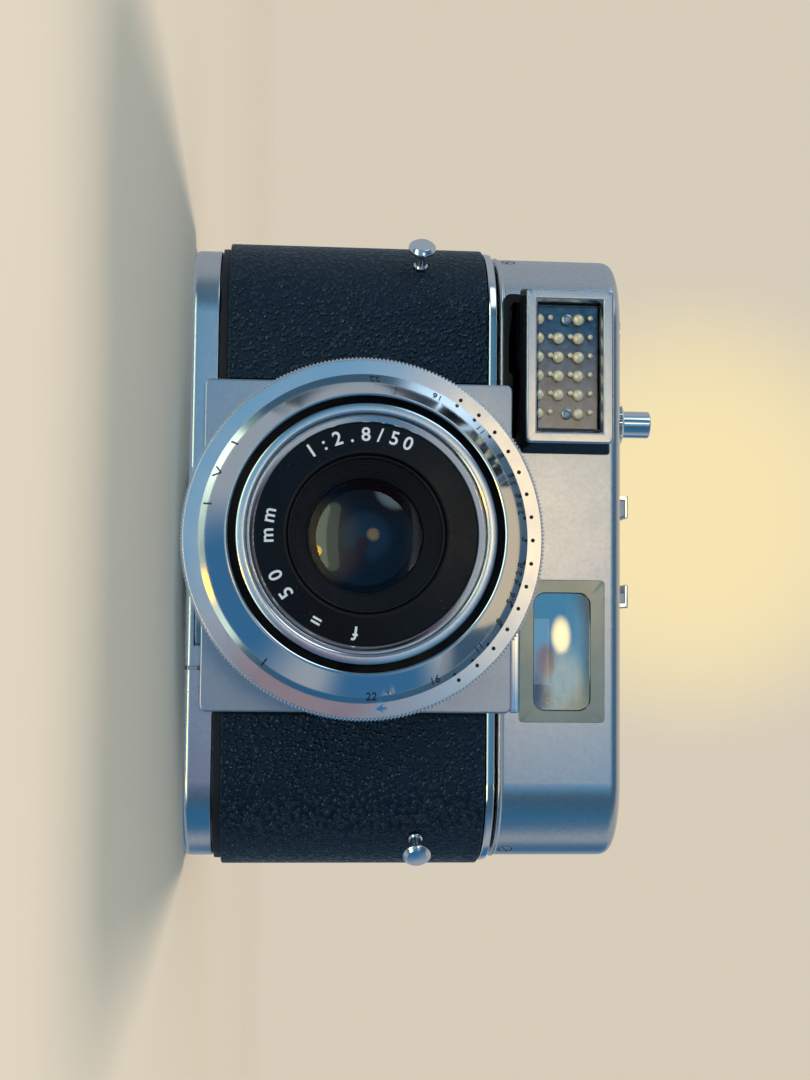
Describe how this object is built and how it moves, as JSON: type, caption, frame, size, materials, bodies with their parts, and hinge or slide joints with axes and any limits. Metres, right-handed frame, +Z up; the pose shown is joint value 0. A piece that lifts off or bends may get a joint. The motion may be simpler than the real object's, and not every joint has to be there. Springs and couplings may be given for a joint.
{
  "type": "35 mm viewfinder camera with light meter",
  "caption": "Compact film camera with a leaf-shutter lens, selenium meter window, viewfinder, leather covering and hinged back and base flap.",
  "frame": {"origin": "middle of the flat underside of the base, below the lens axis and midway between front and back leather", "axes": "+Z up, +X to the right of a person who looks at the front, the lens looks along -Y"},
  "size_m": [0.1168, 0.0661, 0.0856],
  "materials": {
    "satin_chrome": "fine satin chrome plating on brass",
    "satin_aluminium": "satin machined aluminium, knurled edge",
    "brushed_aluminium": "turned and polished aluminium",
    "bright_chrome": "polished chrome",
    "steel": "plain steel",
    "cast_alloy": "die casting, black paint inside",
    "black_leather": "pebbled black leather cloth",
    "black_paint": "black lacquer, half matt",
    "clear_glass": "clear polished glass",
    "coated_glass": "single coated optical glass, blue and amber reflections",
    "scale_white": "ivory scale card"
  },
  "bodies": {
    "camera": {"base_plate": "satin_chrome", "top_housing": "satin_chrome", "lens_mount_plate": "satin_chrome", "depth_scale_ring": "brushed_aluminium", "meter_bezel": "brushed_aluminium", "finder_fascia": "brushed_aluminium", "trim_strip": "bright_chrome", "accessory_shoe": "bright_chrome", "release_collar": "bright_chrome", "strap_lug_left": "bright_chrome", "strap_lug_right": "bright_chrome", "flash_socket": "bright_chrome", "door_hinge_pin": "steel", "flap_hinge_pin": "steel", "tripod_bush": "steel", "galvanometer": "steel", "shoe_spring": "steel", "housing_screw_left": "steel", "housing_screw_right": "steel", "shutter_blades": "steel", "body_casting": "cast_alloy", "leather_left": "black_leather", "leather_right": "black_leather", "meter_housing": "black_paint", "selenium_cell": "black_paint", "finder_tube": "black_paint", "eyepiece_frame": "black_paint", "shutter_housing": "black_paint", "rear_cell": "black_paint", "iris_blades": "black_paint", "meter_window": "clear_glass", "meter_scale_window": "clear_glass", "finder_front_lens": "clear_glass", "eyepiece_lens": "clear_glass", "rear_element": "coated_glass", "meter_scale_plate": "scale_white"},
    "door": {"back_door": "satin_chrome", "door_leather": "black_leather", "pressure_plate": "black_paint", "pressure_spring": "steel"},
    "flap": {"bottom_flap": "satin_chrome"},
    "latch": {"flap_latch_key": "bright_chrome"},
    "advance": {"advance_lever": "bright_chrome", "advance_shaft": "steel", "advance_cap": "bright_chrome"},
    "spool": {"takeup_spool": "black_paint"},
    "sprocket": {"sprocket_drum": "steel"},
    "rewind_lift": {"rewind_sleeve": "steel"},
    "rewind": {"rewind_knob": "satin_chrome", "rewind_fork": "steel"},
    "release": {"release_button": "bright_chrome"},
    "counter": {"frame_counter_wheel": "satin_aluminium"},
    "needle": {"meter_needle": "black_paint"},
    "speed": {"shutter_speed_ring": "satin_aluminium"},
    "aperture": {"aperture_ring": "satin_aluminium"},
    "sync": {"sync_lever": "satin_aluminium"},
    "focus": {"focusing_ring": "brushed_aluminium"},
    "front_group": {"front_cell": "black_paint", "name_ring": "black_paint", "front_element": "coated_glass"}
  },
  "joints": [
    {"name": "door_hinge", "type": "hinge", "parent": "camera", "child": "door", "pos_m": [-0.0574, 0.006, 0.03], "axis": [0, 0, 1], "range_deg": [0, 100]},
    {"name": "flap_hinge", "type": "hinge", "parent": "camera", "child": "flap", "pos_m": [0.0234, 0, 0.0012], "axis": [0, 1, 0], "range_deg": [0, 95]},
    {"name": "latch_turn", "type": "hinge", "parent": "flap", "child": "latch", "pos_m": [0.046, 0, 0.001], "axis": [0, 0, 1], "range_deg": [0, 90]},
    {"name": "advance_turn", "type": "hinge", "parent": "camera", "child": "advance", "pos_m": [-0.043, 0.0025, 0.079], "axis": [0, 0, 1], "range_deg": [0, 90]},
    {"name": "spool_turn", "type": "hinge", "parent": "camera", "child": "spool", "pos_m": [-0.0415, 0, 0.03], "axis": [0, 0, 1], "range_deg": [0, 360]},
    {"name": "sprocket_turn", "type": "hinge", "parent": "camera", "child": "sprocket", "pos_m": [-0.026, 0.001, 0.03], "axis": [0, 0, 1], "range_deg": [0, 360]},
    {"name": "rewind_rise", "type": "slide", "parent": "camera", "child": "rewind_lift", "axis": [0, 0, 1], "range_m": [0, 0.005]},
    {"name": "rewind_turn", "type": "hinge", "parent": "rewind_lift", "child": "rewind", "pos_m": [0.042, 0, 0.076], "axis": [0, 0, 1], "continuous": true},
    {"name": "release_press", "type": "slide", "parent": "camera", "child": "release", "axis": [0, 0, -1], "range_m": [0, 0.0022], "stiffness_N_per_m": 200},
    {"name": "counter_turn", "type": "hinge", "parent": "camera", "child": "counter", "pos_m": [0.0129, -0.0074, 0.0025], "axis": [0, 0, 1], "continuous": true},
    {"name": "needle_swing", "type": "hinge", "parent": "camera", "child": "needle", "pos_m": [-0.033, 0.004, 0.0735], "axis": [0, 0, 1], "range_deg": [-18, 18]},
    {"name": "speed_turn", "type": "hinge", "parent": "camera", "child": "speed", "pos_m": [0, -0.033, 0.0303], "axis": [0, 1, 0], "range_deg": [0, 112]},
    {"name": "aperture_turn", "type": "hinge", "parent": "camera", "child": "aperture", "pos_m": [0, -0.026, 0.0303], "axis": [0, 1, 0], "range_deg": [0, 90]},
    {"name": "sync_turn", "type": "hinge", "parent": "camera", "child": "sync", "pos_m": [0, -0.02, 0.0303], "axis": [0, 1, 0], "range_deg": [0, 30]},
    {"name": "focus_turn", "type": "hinge", "parent": "camera", "child": "focus", "pos_m": [0, -0.043, 0.0303], "axis": [0, 1, 0], "range_deg": [0, 270]},
    {"name": "focus_travel", "type": "slide", "parent": "focus", "child": "front_group", "axis": [0, -1, 0], "range_m": [0, 0.0013]}
  ],
  "couplings": [
    {"joint": "spool_turn", "follows": "advance_turn", "ratio": 4},
    {"joint": "sprocket_turn", "follows": "advance_turn", "ratio": 4},
    {"joint": "focus_travel", "follows": "focus_turn", "m_per_rad": 0.000255}
  ]
}
